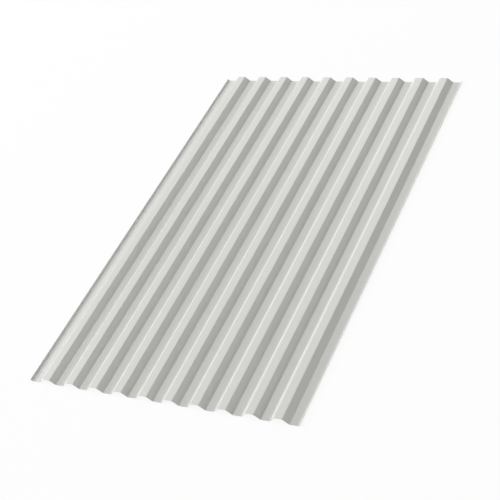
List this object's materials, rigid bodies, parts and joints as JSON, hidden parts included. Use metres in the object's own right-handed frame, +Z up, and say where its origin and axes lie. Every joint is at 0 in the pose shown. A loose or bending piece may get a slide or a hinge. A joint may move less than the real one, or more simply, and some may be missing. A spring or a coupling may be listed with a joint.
{
  "type": "corrugated metal sheet",
  "caption": "Flat-lying painted steel sheet roll-formed into parallel trapezoidal ribs, with part webs turned up along both side edges for lapping; for roofs, walls and fences.",
  "frame": {"origin": "middle of the sheet, on the plane of the undersides of its valleys", "axes": "+X across the ribs, +Y along the ribs, +Z up from the valleys to the crests"},
  "size_m": [1.0464, 1.66, 0.021],
  "materials": {
    "painted_steel": "semi-matt light grey polyester paint on zinc-coated steel"
  },
  "bodies": {
    "root": {"ribbed_sheet": "painted_steel"}
  },
  "joints": []
}
